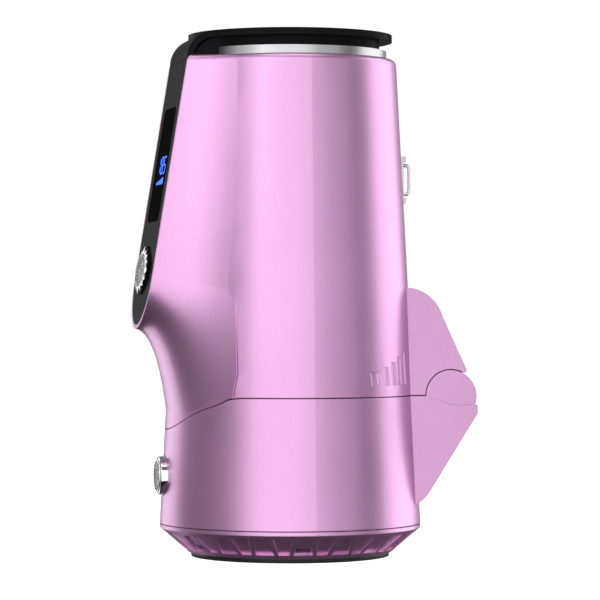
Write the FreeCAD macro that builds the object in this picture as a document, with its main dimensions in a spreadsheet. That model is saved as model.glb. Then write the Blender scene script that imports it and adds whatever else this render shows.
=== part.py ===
import FreeCAD, Part
import math
import os
import Sketcher

# A compact upright hair dryer. Air comes in through the vented ring at its foot, through a filter in
# the base, and a fan and heater in the barrel blow it out of the mouth on top. The barrel tips back
# on a rear hinge to free the filter.
# Millimetres. +Z runs up the barrel, -Y faces the user and +Y is the hinge side. The origin is the
# centre of the rest face.

os.makedirs("parts", exist_ok=True)
doc = FreeCAD.newDocument("HairDryer")
sheet = doc.addObject("Spreadsheet::Sheet", "Dim")

SIZES = {
    # Casing
    "body_r": 43.5, "shoulder_r": 35.3, "body_foot": 11.1, "body_top": 165.0, "wall": 2.0,
    "lid": 3.0, "rim_round": 2.0, "line_gap": 0.3, "play": 0.1, "air_gap": 0.4,
    # Parting line between base and barrel
    "seam_level": 53.5, "seam_dip": 11.1, "dip_half": 36.0, "lip_wall": 1.4, "lip_rise": 3.0,
    "shelf_level": 36.0, "shelf_wall": 2.5, "shelf_in_r": 30.5,
    # Hinge fairing
    "hinge_y": 50.8, "hinge_level": 53.3, "knuckle_r": 8.6, "pin_r": 2.0, "pin_play": 0.05,
    "tongue_half": 8.0, "fin_top": 89.1, "fin_top_half": 15.0, "fin_mid_half": 18.7,
    "fin_foot": 17.2, "fin_foot_half": 20.3, "fin_root_y": 30.0, "fin_tip_y": 5.4,
    "fin_tip_rise": 8.7, "fin_slope_y": 7.6, "fin_slope_drop": 31.4,
    # Control strip: its plane leans, and its lower end is the reference point
    "tip_y": 52.0, "tip_level": 77.0, "strip_lean": 9.3, "strip_half": 18.0, "strip_end": 15.5,
    "strip_drop": 1.157, "panel_wall": 1.8, "panel_lip": 1.4,
    "window_half": 12.3, "window_foot": 34.5, "window_length": 38.0, "window_round": 3.0,
    "knob_level": 18.2, "knob_r": 8.0, "knob_proud": 2.8, "knob_travel": 0.7, "stem_r": 2.0,
    "bay_half": 13.5, "bay_foot": 7.0, "bay_length": 77.0, "bay_depth": 10.0,
    "board_depth": 8.0, "board_wall": 1.6,
    # Flanks of the strip's fairing: where they run into the taper, in degrees from the front
    "valley_low": 52.0, "valley_high": 54.0, "valley_low_rise": 15.0, "valley_sink": 0.13,
    "flank_reach": 30.0, "chin_curve": 0.11,
    # Top
    "cap_r": 34.0, "cap_rise": 6.0, "cap_wall": 2.2, "neck_r": 29.8, "mouth_r": 24.0,
    "ring_r": 32.1, "ring_height": 2.8, "neck_depth": 7.5, "shoulder_round": 9.3,
    "band_wall": 2.2, "cheek_inset": 1.0, "guard_rib": 1.2, "guard_height": 2.5,
    # Level bars pressed into the side
    "bar_depth": 0.6, "bar_wide": 1.8, "bar_foot": 57.3, "bar_first": 4.3, "bar_step": 1.6,
    "bar_pitch": 3.0, "bar_start": 34.9,
    # Hanging loop
    "loop_y": 38.4, "loop_level": 118.0, "loop_height": 15.0, "loop_wire_r": 0.55,
    "loop_reach": 2.4, "loop_corner": 1.4, "lug_half": 1.3, "lug_height": 1.9,
    # Air path in the barrel
    "duct_r": 31.0, "duct_wall": 1.5, "duct_foot": 58.0, "duct_top": 97.0, "sleeve_wall": 0.8,
    "sleeve_drop": 17.0, "hub_r": 10.0, "hub_height": 10.0, "fan_foot": 64.0, "blade_tip_gap": 0.7,
    "blade_wall": 1.4, "shaft_r": 1.15, "shaft_play": 0.06, "motor_r": 12.0, "motor_foot": 78.0,
    "motor_height": 17.0, "core_wall": 1.2, "core_drop": 19.0, "coil_wire_r": 0.6,
    "coil_pitch": 7.0, "flange_level": 66.0, "flange_wall": 2.0,
    # Latch
    "latch_level": 27.0, "latch_r": 6.35, "latch_proud": 2.1, "latch_travel": 2.0,
    "latch_play": 0.3, "collar_wall": 1.5, "arm_y": 36.6, "arm_wall": 2.0, "arm_half": 3.0,
    "arm_top": 49.5, "nose_height": 2.2, "nose_reach": 1.0, "catch_play": 0.3,
    "catch_height": 3.2, "catch_half": 4.0, "guide_y": 27.0, "spring_r": 2.4, "spring_wire_r": 0.35,
    # Base
    "foot_r": 34.0, "ring_foot": 1.5, "ring_wall": 1.8, "ring_line": 10.8, "cell_depth": 0.7,
    "cell_wide": 6.3, "cell_narrow": 3.5, "cell_slant": 8.6, "cell_turn": 4.5,
    "slot_wide": 5.0, "slot_high": 2.4, "rubber_out_r": 33.0, "rubber_in_r": 29.0,
    "rubber_height": 1.5, "plate_level": 1.0, "plate_wall": 2.0, "plate_r": 33.4,
    "filter_r": 32.2, "filter_in_r": 29.6, "filter_height": 6.0, "mesh_wall": 0.5,
    "inlet_level": 26.0, "inlet_half": 9.0, "inlet_high": 10.4, "inlet_deep": 13.0,
    "socket_r": 3.65, "socket_pitch": 8.6, "socket_web": 5.4, "socket_deep": 9.0, "prong_r": 1.2,
    "screw_r": 1.5, "screw_head_r": 2.8, "screw_ring_r": 26.0, "flange_in_r": 23.0,
    "board_level": 14.0, "post_r": 2.0, "stud_r": 5.0, "grille_lip": 1.0,
}

for row, (alias, value) in enumerate(SIZES.items(), 1):
    sheet.set(f"A{row}", alias)
    sheet.set(f"B{row}", str(value))
    sheet.setAlias(f"B{row}", alias)
doc.recompute()


class Size:
    """A length worked out from the sheet: its value now, and the expression that keeps it bound."""

    def __init__(self, value, text=None):
        self.value = float(value)
        self.text = text or f"({self.value!r})"

    def join(self, other, sign, turned=False):
        first, second = (as_size(other), self) if turned else (self, as_size(other))
        a, b = first.value, second.value
        value = {"+": a + b, "-": a - b, "*": a * b}[sign] if sign != "/" else a / b
        return Size(value, f"({first.text} {sign} {second.text})")

    def __add__(self, other):
        return self.join(other, "+")

    def __radd__(self, other):
        return self.join(other, "+", True)

    def __sub__(self, other):
        return self.join(other, "-")

    def __rsub__(self, other):
        return self.join(other, "-", True)

    def __mul__(self, other):
        return self.join(other, "*")

    def __rmul__(self, other):
        return self.join(other, "*", True)

    def __truediv__(self, other):
        return self.join(other, "/")

    def __neg__(self):
        return Size(-self.value, f"(0 - {self.text})")

    def __float__(self):
        return self.value


def as_size(length):
    return length if isinstance(length, Size) else Size(length)


def function(name, length):
    """A trigonometric function or root of a Size, in degrees as the sheet works."""
    value = length.value if name == "sqrt" else math.radians(length.value)
    return Size(getattr(math, name)(value), f"{name}({length.text})")


class Sheet:
    """Every size of the sheet by its alias."""


dim = Sheet()
for alias in SIZES:
    setattr(dim, alias, Size(sheet.get(alias), f"Dim.{alias}"))

NODES = []
BIG = 200.0
X_AXIS = FreeCAD.Vector(1, 0, 0)
Y_AXIS = FreeCAD.Vector(0, 1, 0)
Z_AXIS = FreeCAD.Vector(0, 0, 1)
ALONG_X = FreeCAD.Rotation(Y_AXIS, 90)
ALONG_Y = FreeCAD.Rotation(X_AXIS, -90)
AGAINST_Y = FreeCAD.Rotation(X_AXIS, 90)


def bind(item, path, length):
    item.setExpression(path, as_size(length).text)


def put(item, x=0.0, y=0.0, z=0.0, turn=None):
    """Places an object: a fixed rotation, and an origin bound to the sheet."""
    place = FreeCAD.Vector(float(x), float(y), float(z))
    item.Placement = FreeCAD.Placement(place, turn or FreeCAD.Rotation())
    for letter, length in (("x", x), ("y", y), ("z", z)):
        if isinstance(length, Size):
            bind(item, f"Placement.Base.{letter}", length)
    return item


def on_strip(item):
    """Places an object drawn with +Z up the control strip and -Y out of it."""
    put(item, 0, -dim.tip_y, dim.tip_level, FreeCAD.Rotation(-X_AXIS, float(dim.strip_lean)))
    bind(item, "Placement.Rotation.Angle", dim.strip_lean)
    return item


def cylinder(name, radius, height, x=0.0, y=0.0, z=0.0, turn=None):
    item = doc.addObject("Part::Cylinder", name)
    bind(item, "Radius", radius)
    bind(item, "Height", height)
    return put(item, x, y, z, turn)


def cone(name, low_r, high_r, height, z=0.0):
    item = doc.addObject("Part::Cone", name)
    bind(item, "Radius1", low_r)
    bind(item, "Radius2", high_r)
    bind(item, "Height", height)
    return put(item, 0, 0, z)


def box(name, x_span, y_span, z_span):
    """A box between two corners, each span a low and a high value."""
    item = doc.addObject("Part::Box", name)
    for side, (low, high) in zip(("Length", "Width", "Height"), (x_span, y_span, z_span)):
        bind(item, side, as_size(high) - low)
    return put(item, x_span[0], y_span[0], z_span[0])


def slab(name, half, y_span, z_span):
    """A box centred on x = 0."""
    return box(name, (-half, half), y_span, z_span)


def torus(name, ring_r, wire_r, x=0.0, y=0.0, z=0.0, turn=None, sweep=360.0):
    item = doc.addObject("Part::Torus", name)
    bind(item, "Radius1", ring_r)
    bind(item, "Radius2", wire_r)
    item.Angle3 = sweep
    return put(item, x, y, z, turn)


def fuse(name, *items):
    item = doc.addObject("Part::MultiFuse", name)
    item.Shapes = list(items)
    item.Refine = False
    return item


def common(name, first, second):
    item = doc.addObject("Part::Common", name)
    item.Base, item.Tool = first, second
    return item


def cut(name, base, *tools):
    item = doc.addObject("Part::Cut", name)
    item.Base = base
    item.Tool = tools[0] if len(tools) == 1 else fuse(f"{name}_tools", *tools)
    return item


def outline(body, plane_role, steps):
    """A closed sketch. A step is (across, up), or (across, up, radius) when an arc leads to it:
    a positive radius turns left and a negative one right."""
    plane = next(f for f in body.Origin.OriginFeatures if f.Role == plane_role)
    sketch = body.newObject("Sketcher::SketchObject", f"{body.Name}_outline")
    sketch.AttachmentSupport = (plane, [""])
    sketch.MapMode = "FlatFace"
    starts = []
    for step, following in zip(steps, steps[1:] + steps[:1]):
        a = FreeCAD.Vector(float(step[0]), float(step[1]), 0)
        b = FreeCAD.Vector(float(following[0]), float(following[1]), 0)
        if len(following) == 2:
            index = sketch.addGeometry(Part.LineSegment(a, b))
            starts.append((index, 1, 2))
            continue
        radius = float(following[2])
        chord = b - a
        side = FreeCAD.Vector(-chord.y, chord.x, 0).normalize() * math.copysign(1, radius)
        centre = (a + b) * 0.5 + side * math.sqrt(radius ** 2 - (chord.Length / 2) ** 2)
        first, last = (a, b) if radius > 0 else (b, a)
        angles = [math.atan2(p.y - centre.y, p.x - centre.x) for p in (first, last)]
        circle = Part.Circle(centre, Z_AXIS, abs(radius))
        index = sketch.addGeometry(Part.ArcOfCircle(circle, *angles))
        starts.append((index, 1, 2) if radius > 0 else (index, 2, 1))
        held = sketch.addConstraint(Sketcher.Constraint("Radius", index, abs(radius)))
        reach = as_size(following[2])
        bind(sketch, f"Constraints[{held}]", reach if radius > 0 else -reach)
    for (index, start, end), (after, begin, _) in zip(starts, starts[1:] + starts[:1]):
        sketch.addConstraint(Sketcher.Constraint("Coincident", index, end, after, begin))
    for (index, start, end), step in zip(starts, steps):
        for kind, length in (("DistanceX", step[0]), ("DistanceY", step[1])):
            held = sketch.addConstraint(
                Sketcher.Constraint(kind, -1, 1, index, start, float(length)))
            bind(sketch, f"Constraints[{held}]", length)
    return sketch


def revolve(name, steps):
    """A body turned about Z from an outline of (radius, height) steps."""
    body = doc.addObject("PartDesign::Body", name)
    turned = body.newObject("PartDesign::Revolution", f"{name}_turned")
    turned.Profile = outline(body, "XZ_Plane", steps)
    turned.ReferenceAxis = (turned.Profile[0], ["V_Axis"])
    turned.Angle = 360
    body.Tip = turned
    return body


def pad(name, plane_role, steps, length):
    """A body padded both ways from an origin plane."""
    body = doc.addObject("PartDesign::Body", name)
    thick = body.newObject("PartDesign::Pad", f"{name}_pad")
    thick.Profile = outline(body, plane_role, steps)
    thick.SideType = "Symmetric"
    bind(thick, "Length", length)
    body.Tip = thick
    return body


def copies(name, source, count, pitch, first=0.0):
    """Copies of an object turned about Z, pitch degrees apart."""
    doc.recompute()
    turned = []
    for index in range(count):
        shape = source.Shape.copy()
        shape.rotate(FreeCAD.Vector(), Z_AXIS, first + index * pitch)
        turned.append(shape)
    item = doc.addObject("Part::Feature", name)
    item.Shape = Part.makeCompound(turned)
    item.Placement = FreeCAD.Placement()
    return item


def node(item, name):
    """Names a finished piece, so that it is written out under that name."""
    item.Label = name
    NODES.append(item)
    return item


def casing_r(level):
    """Radius of the casing's taper at a height."""
    fall = (dim.body_r - dim.shoulder_r) / (dim.body_top - dim.body_foot)
    return dim.body_r - fall * (level - dim.body_foot)


def taper(name, low, high, inset):
    """The casing's taper between two heights, moved in by a wall."""
    return cone(name, casing_r(low) - inset, casing_r(high) - inset, high - low, low)


# --- Parting line, fairing and control strip: the outer form -------------------------------------


def seam_tongue(name, shift):
    """What the barrel's front tongue fills: below the flat seam, above one wave of a cosine."""
    half, dip, level = float(dim.dip_half), float(dim.seam_dip), float(dim.seam_level)
    count = 12
    points = []
    for index in range(count + 1):
        x = -half + 2 * half * index / count
        drop = dip * (0.5 + 0.5 * math.cos(math.pi * x / half)) ** 0.7
        points.append(FreeCAD.Vector(x, 0, level - drop + shift))
    wave = Part.BSplineCurve()
    wave.interpolate(points, InitialTangent=X_AXIS, FinalTangent=X_AXIS)
    rise = FreeCAD.Vector(0, 0, dip / 4)
    corners = [points[-1], points[-1] + rise, points[0] + rise, points[0]]
    edges = [wave.toShape()] + [Part.makeLine(a, b) for a, b in zip(corners, corners[1:])]
    item = doc.addObject("Part::Feature", name)
    item.Shape = Part.Face(Part.Wire(edges)).extrude(FreeCAD.Vector(0, -BIG, 0))
    item.Placement = FreeCAD.Placement()
    return item


def strip_section(half_foot, half_top, centre, drop, top, depth):
    """One outline of the strip's fairing: straight sides on a half ellipse."""
    def at(x, z):
        return FreeCAD.Vector(x, depth, z)

    ellipse = Part.Ellipse(at(half_foot, centre), at(0, centre - drop), at(0, centre)) \
        if half_foot > drop else \
        Part.Ellipse(at(0, centre - drop), at(half_foot, centre), at(0, centre))
    arc = Part.Arc(ellipse, -math.pi / 2, math.pi / 2) if half_foot <= drop else \
        Part.Arc(ellipse, 0, math.pi)
    ends = [arc.StartPoint, arc.EndPoint]
    right, left = sorted(ends, key=lambda p: -p.x)
    edges = [arc.toShape(), Part.makeLine(right, at(half_top, top)),
             Part.makeLine(at(half_top, top), at(-half_top, top)),
             Part.makeLine(at(-half_top, top), left)]
    return Part.Wire(Part.__sortEdges__(edges))


# The strip runs up to just below the shoulder, where its plane meets the top cap's band
dim.strip_length = (dim.body_top - dim.strip_drop - dim.tip_level) / function("cos", dim.strip_lean)
dim.cap_front = -dim.tip_y + dim.strip_length * function("sin", dim.strip_lean)
# Levels that follow the top of the barrel
dim.cap_level = dim.body_top + dim.cap_rise
dim.neck_foot = dim.body_top - dim.neck_depth
dim.sleeve_top = dim.body_top - dim.sleeve_drop
dim.core_top = dim.body_top - dim.core_drop


def strip_plug(name, margin, y_low, y_high, top):
    """A straight plug with the strip's outline, grown by a margin."""
    half = float(dim.strip_half + margin)
    end = float(dim.strip_end + margin)
    wire = strip_section(half, half, float(dim.strip_end), end, float(top), float(y_low))
    item = doc.addObject("Part::Feature", name)
    item.Shape = Part.Face(wire).extrude(FreeCAD.Vector(0, float(y_high) - float(y_low), 0))
    return on_strip(item)


def valley(level, angle):
    """Where a flank runs into the taper: across, back and the flank's depth square to the strip."""
    across = casing_r(level) * function("sin", angle) - dim.valley_sink
    back = -casing_r(level) * function("cos", angle)
    front = (level - dim.tip_level) * function("sin", dim.strip_lean) \
        / function("cos", dim.strip_lean) - dim.tip_y
    return across, back, (back - front) * function("cos", dim.strip_lean)


def flank(level, angle):
    """A flank's two flare factors at a level, which make it run along the taper where they meet,
    and how far up the strip that is."""
    across, _, depth = (float(value) for value in valley(level, angle))
    lean, turn = math.radians(float(dim.strip_lean)), math.radians(float(angle))
    slope = 1 / math.tan(turn) / math.cos(lean)
    spread = across - float(dim.strip_half + dim.panel_lip)
    square = (slope * depth - spread) / depth ** 2
    up = (float(level - dim.tip_level) + depth * math.sin(lean)) / math.cos(lean)
    return slope - 2 * square * depth, square, up


def console():
    """The fairing behind the strip. It flares as it goes back, until it lies along the taper."""
    low_level, high_level = dim.tip_level + dim.valley_low_rise, dim.body_top - 5
    low_line, low_square, low_up = flank(low_level, dim.valley_low)
    high_line, high_square, high_up = flank(high_level, dim.valley_high)
    edge, end = float(dim.strip_half + dim.panel_lip), float(dim.strip_end)
    top = float(dim.strip_length) + 6

    def half_at(up, depth):
        share = (up - low_up) / (high_up - low_up)
        line = low_line + (high_line - low_line) * share
        square = low_square + (high_square - low_square) * share
        return edge + line * depth + square * depth ** 2

    sections = []
    count = 6
    for index in range(count):
        depth = float(dim.flank_reach) * index / (count - 1)
        drop = end + float(dim.panel_lip) + float(dim.chin_curve) * depth ** 2
        sections.append(strip_section(half_at(end, depth), half_at(top, depth), end, drop, top,
                                      depth))
    item = doc.addObject("Part::Feature", "console_flare")
    item.Shape = Part.makeLoft(sections, True, False)
    low_back, high_back = valley(low_level, dim.valley_low)[1], valley(high_level, dim.valley_high)[1]
    front = pad("console_front", "YZ_Plane", [
        (-BIG, 0), (low_back, 0), (low_back, low_level), (high_back, high_level),
        (high_back, BIG), (-BIG, BIG)], BIG)
    return common("console", on_strip(item), front)


def fin_width(name, rise):
    """The fairing's drafted width, seen from behind."""
    foot, middle, top = dim.fin_foot_half, dim.fin_mid_half, dim.fin_top_half
    level, low, high = dim.hinge_level, dim.fin_foot - rise, dim.fin_top + rise
    steps = [(-foot, low), (foot, low), (middle, level), (top, high), (-top, high),
             (-middle, level)]
    return pad(name, "XZ_Plane", steps, BIG)


upper_space = fuse("upper_space",
                   slab("upper_room", BIG / 2, (-BIG / 2, BIG / 2),
                        (dim.seam_level + dim.line_gap / 2, dim.seam_level + BIG)),
                   seam_tongue("upper_tongue", float(dim.line_gap) / 2))
lower_space = cut("lower_space",
                  slab("lower_room", BIG / 2, (-BIG / 2, BIG / 2),
                       (dim.seam_level - BIG, dim.seam_level - dim.line_gap / 2)),
                  seam_tongue("lower_tongue", -float(dim.line_gap) / 2))


def hinge_bar(name, radius, half):
    """A cylinder along the hinge axis."""
    return cylinder(name, radius, half * 2, -half, dim.hinge_y, dim.hinge_level, ALONG_X)


def build_lower_housing():
    low, top = dim.body_foot, dim.seam_level
    # Side view of the rear fairing: shoulder, slope and the turn into the casing
    fin = pad("lower_fin_side", "YZ_Plane", [
        (dim.fin_root_y, dim.fin_foot), (dim.hinge_y - 13.2, dim.fin_foot),
        (dim.hinge_y - dim.fin_slope_y, dim.hinge_level - dim.fin_slope_drop, 12.0),
        (dim.hinge_y + dim.knuckle_r + 0.3, dim.hinge_level - 5.9),
        (dim.hinge_y + dim.knuckle_r + 0.3, dim.hinge_level - 3.0),
        (dim.hinge_y, dim.hinge_level - 3.0), (dim.hinge_y - dim.knuckle_r, top),
        (dim.fin_root_y, top)], BIG)
    barrel = hinge_bar("lower_knuckle", dim.knuckle_r, dim.fin_mid_half)
    fairing = common("lower_fairing", fuse("lower_fin", fin, barrel),
                     fin_width("lower_fin_width", dim.wall))
    outer = fuse("lower_outer", taper("lower_taper", low, top, as_size(0)), fairing)
    kept = cut("lower_kept", outer, slab(
        "lower_over", BIG / 2, (-BIG / 2, dim.hinge_y - dim.knuckle_r),
        (dim.seam_level - dim.line_gap / 2, dim.seam_level + BIG)))
    shell = cut("lower_shell", kept, taper("lower_hollow", low - 1, top + 1, dim.wall),
                seam_tongue("lower_dip", -float(dim.line_gap) / 2),
                hinge_bar("tongue_slot", dim.knuckle_r + dim.line_gap,
                          dim.tongue_half + dim.line_gap / 2))
    inner_r = casing_r(dim.seam_level) - dim.wall
    lip_r = inner_r - dim.air_gap
    step = dim.seam_level - dim.seam_dip - dim.line_gap
    shelf_r = casing_r(dim.shelf_level)
    lip = revolve("register_lip", [
        (dim.shelf_in_r, dim.shelf_level), (shelf_r, dim.shelf_level),
        (shelf_r, step - 1.0), (lip_r, step), (lip_r, dim.seam_level + dim.lip_rise),
        (lip_r - dim.lip_wall, dim.seam_level + dim.lip_rise),
        (lip_r - dim.lip_wall, dim.shelf_level + dim.shelf_wall),
        (dim.shelf_in_r, dim.shelf_level + dim.shelf_wall)])
    notch = slab("latch_notch", dim.arm_half + 1.5, (-lip_r - 0.2, -dim.shelf_in_r + 1),
                 (dim.shelf_level - 1, dim.seam_level + BIG / 4))
    collar = cylinder("latch_collar", dim.latch_r + dim.latch_play + dim.collar_wall, 5.0,
                      0, -casing_r(dim.latch_level) + 0.6, dim.latch_level, ALONG_Y)
    bore = cylinder("latch_bore", dim.latch_r + dim.latch_play, 16.0,
                    0, -casing_r(dim.latch_level) - 6, dim.latch_level, ALONG_Y)
    whole = fuse("lower_whole", shell, collar)
    socket = box("inlet_port", (-casing_r(dim.inlet_level) - 3, -casing_r(dim.inlet_level) + 8),
                 (-dim.inlet_half, dim.inlet_half),
                 (dim.inlet_level - dim.inlet_high / 2, dim.inlet_level + dim.inlet_high / 2))
    pin_hole = hinge_bar("pin_seat", dim.pin_r, dim.fin_mid_half - 1.0)
    node(cut("lower_housing", whole, bore, socket, pin_hole), "lower_housing")
    # The shelf that carries the filter and the register lip, pressed into the casing
    seat = taper("shelf_seat", low, top + BIG / 4, dim.wall + dim.play)
    node(common("filter_shelf", cut("lip_notched", lip, notch), seat), "filter_shelf")


def rounded(name, source, radius, chosen):
    """Rounds the edges that a test on their boxes picks."""
    doc.recompute()
    item = doc.addObject("Part::Fillet", name)
    item.Base = source
    item.Edges = [(number, float(radius), float(radius))
                  for number, edge in enumerate(source.Shape.Edges, 1) if chosen(edge.BoundBox)]
    return item


def rounded_rim(name, source, top):
    """Rounds the edges that lie at a height."""
    return rounded(name, source, dim.rim_round, lambda span: span.ZMin > float(top) - 0.01)


def build_upper_housing():
    top = dim.body_top
    low = dim.seam_level - dim.seam_dip - 2
    fairing = console()
    level_top = slab("above_top", BIG / 2, (-BIG / 2, BIG / 2), (top, top + BIG))
    crown = rounded_rim("console_rounded", cut("console_trimmed", fairing, level_top), top)
    barrel = rounded_rim("taper_rounded", taper("upper_taper", low, top, as_size(0)), top)
    form = fuse("upper_form", barrel, crown)
    tip_y, tip_level = dim.hinge_y + dim.fin_tip_y, dim.hinge_level + dim.fin_tip_rise
    fin = pad("upper_fin_side", "YZ_Plane", [
        (dim.fin_root_y, dim.seam_level), (dim.hinge_y, dim.seam_level),
        (dim.hinge_y, dim.hinge_level), (tip_y - 0.9, tip_level - 1.0),
        (tip_y, tip_level, 0.8), (dim.hinge_y - 2.4, dim.fin_top - 9.5),
        (dim.hinge_y - 13.0, dim.fin_top, 13.0), (dim.fin_root_y, dim.fin_top)], BIG)
    tongue = hinge_bar("upper_tongue_eye", dim.knuckle_r, dim.tongue_half)
    sides = common("upper_fairing", fin, fin_width("upper_fin_width", dim.wall))
    knuckle_room = [
        box(f"knuckle_room_{side}", *spans) for side, spans in (
            ("left", ((-BIG, -dim.tongue_half), (0, BIG), (0, BIG))),
            ("right", ((dim.tongue_half, BIG), (0, BIG), (0, BIG))))]
    swept = common("knuckle_sweep", hinge_bar(
        "knuckle_clear", dim.knuckle_r + dim.line_gap, dim.fin_foot_half + 5),
        fuse("beside_tongue", *knuckle_room))
    outer = fuse("upper_outer", form, sides)
    above = common("upper_above", outer, upper_space)
    eyed = fuse("upper_eyed", cut("upper_swept", above, swept), tongue)
    hollow = taper("upper_hollow", low - 1, top - dim.lid, dim.wall)
    recess = strip_plug("panel_recess", dim.play, -5.0, dim.panel_wall + dim.play,
                        dim.strip_length + 20)
    bay = strip_block("panel_bay", dim.bay_half, (0, dim.bay_depth),
                      (dim.bay_foot, dim.bay_foot + dim.bay_length))
    band_seat = slab("band_seat", dim.strip_half + dim.play,
                     (-BIG, dim.cap_front + dim.band_wall + dim.play),
                     (dim.cap_level + dim.cap_wall - dim.shoulder_round - dim.play, BIG))
    neck_hole = cylinder("neck_hole", dim.neck_r + dim.play, BIG, 0, 0, top - dim.lid - 5)
    eye = hinge_bar("eye_bore", dim.pin_r + dim.pin_play, dim.tongue_half + 1)
    bars = []
    for index in range(5):
        middle = dim.bar_start - dim.bar_pitch * index
        bars.append(box(
            f"bar_{index}", (middle - dim.bar_wide / 2, middle + dim.bar_wide / 2), (0, BIG / 2),
            (dim.bar_foot, dim.bar_foot + dim.bar_first + dim.bar_step * index)))
    pressed = cut("bars_pressed", fuse("bars", *bars),
                  taper("bar_floor", low, top, dim.bar_depth))
    node(cut("upper_housing", eyed, hollow, recess, bay, band_seat, neck_hole, eye, pressed),
         "upper_housing")


# --- Base ----------------------------------------------------------------------------------------


def build_intake_ring():
    foot, line, wall = dim.ring_foot, dim.ring_line, dim.ring_wall
    spigot_r = casing_r(dim.body_foot) - dim.wall - dim.play
    flange = dim.plate_level + dim.plate_wall
    profile = revolve("ring_turned", [
        (dim.foot_r, foot), (dim.body_r, line - 1.2), (dim.body_r, line), (spigot_r, line),
        (spigot_r - 0.2, line + 4.0), (spigot_r - wall, line + 4.0), (spigot_r - wall, line - 1.0),
        (dim.foot_r - wall + 1.0, flange + 2.0), (dim.flange_in_r, flange + 2.0),
        (dim.flange_in_r, flange), (dim.plate_r, flange), (dim.plate_r, foot)])
    bosses = copies("ring_bosses", cylinder("ring_boss", dim.screw_head_r, 6.0, dim.screw_ring_r,
                                            0, flange), 3, 120, 30)
    ring = cut("ring_bossed", fuse("ring_whole", profile, bosses), screw_tools("ring_pilots"))
    # Trapezoid cells on the chamfer, every second one upside down
    rise, run = float(line - 1.2 - foot), float(dim.body_r - dim.foot_r)
    slant = math.degrees(math.atan2(run, rise))
    middle = FreeCAD.Vector(float(dim.foot_r) + run / 2, 0, float(foot) + rise / 2)
    tools = []
    wide, narrow = float(dim.cell_wide) / 2, float(dim.cell_narrow) / 2
    half = float(dim.cell_slant) / 2
    for index in range(36):
        upper, lower = (wide, narrow) if index % 2 else (narrow, wide)
        corners = [(0, -lower, -half), (0, lower, -half), (0, upper, half), (0, -upper, half)]
        points = [FreeCAD.Vector(*corner) for corner in corners]
        cell = Part.Face(Part.makePolygon(points + points[:1]))
        cell = cell.extrude(FreeCAD.Vector(4, 0, 0))
        cell.translate(FreeCAD.Vector(-float(dim.cell_depth), 0, 0))
        tools.append(cell)
        if index % 6 == 0:
            slot = Part.makeBox(12, float(dim.slot_wide), float(dim.slot_high),
                                FreeCAD.Vector(-6, -float(dim.slot_wide) / 2, -half + 0.4))
            tools.append(slot)
        placed = tools[-2:] if index % 6 == 0 else tools[-1:]
        for tool in placed:
            tool.rotate(FreeCAD.Vector(), Y_AXIS, slant)
            tool.translate(middle)
            tool.rotate(FreeCAD.Vector(), Z_AXIS, -float(dim.cell_turn) + 10 * index)
    cells = doc.addObject("Part::Feature", "ring_cells")
    cells.Shape = Part.makeCompound(tools)
    cells.Placement = FreeCAD.Placement()
    node(cut("intake_ring", ring, cells), "intake_ring")


def build_base_plate():
    plate = cylinder("plate_disc", dim.plate_r - 0.1, dim.plate_wall, 0, 0, dim.plate_level)
    groove = cut("rubber_groove",
                 cylinder("groove_out", dim.rubber_out_r + dim.play, dim.rubber_height),
                 cylinder("groove_in", dim.rubber_in_r - dim.play, dim.rubber_height * 2, 0, 0, -1))
    slots = [cut(f"grille_band_{index}",
                 cylinder(f"band_out_{index}", radius + 3.0, 10, 0, 0, -1),
                 cylinder(f"band_in_{index}", radius, 12, 0, 0, -2))
             for index, radius in enumerate((9.0, 14.0, 19.0))]
    spokes = copies("plate_spokes", slab("plate_spoke", 1.2, (6, 24), (-2, 12)), 6, 60, 30)
    grille = cut("plate_grille", fuse("plate_bands", *slots), spokes)
    posts = [cylinder(f"board_post_{index}", dim.post_r,
                      dim.board_level - dim.plate_level - dim.plate_wall, x, y,
                      dim.plate_level + dim.plate_wall)
             for index, (x, y) in enumerate(((15.6, -9), (-15.6, -9), (15.6, 9), (-15.6, 9)))]
    holes = screw_tools("plate_holes")
    pierced = cut("plate_pierced", plate, groove, grille, holes)
    node(fuse("base_plate", pierced, *posts), "base_plate")
    rubber = cut("foot_rubber",
                 cylinder("rubber_out", dim.rubber_out_r, dim.rubber_height),
                 cylinder("rubber_in", dim.rubber_in_r, dim.rubber_height * 3, 0, 0, -1))
    stud = cylinder("foot_stud", dim.stud_r, dim.plate_level)
    node(fuse("foot_ring", rubber, stud), "foot_ring")


def screw_tools(name):
    """The base screws: countersunk heads in the plate, shanks up into the ring's bosses."""
    head = cylinder(f"{name}_head", dim.screw_head_r, 1.2, dim.screw_ring_r, 0, dim.plate_level)
    shank = cylinder(f"{name}_shank", dim.screw_r, 7.0, dim.screw_ring_r, 0, dim.plate_level)
    return copies(name, fuse(f"{name}_one", head, shank), 3, 120, 30)


def guard(name, rim_r, hub_r, level, height, ring_radii, spokes, rim_wall):
    """A round grille: a rim, rings and spokes."""
    def band(label, outer, inner):
        return cut(label, cylinder(f"{label}_out", outer, height, 0, 0, level),
                   cylinder(f"{label}_in", inner, height + 2, 0, 0, level - 1))

    rings = [band(f"{name}_ring_{index}", radius + dim.guard_rib / 2, radius - dim.guard_rib / 2)
             for index, radius in enumerate(ring_radii)]
    rim = band(f"{name}_rim", rim_r, rim_r - rim_wall)
    hub = cylinder(f"{name}_hub", hub_r, height, 0, 0, level)
    spoke = box(f"{name}_spoke", (hub_r - 0.5, rim_r - rim_wall / 2),
                (-dim.guard_rib / 2, dim.guard_rib / 2),
                (level, level + height))
    return fuse(name, rim, hub, copies(f"{name}_spokes", spoke, spokes, 360 / spokes), *rings)


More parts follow.
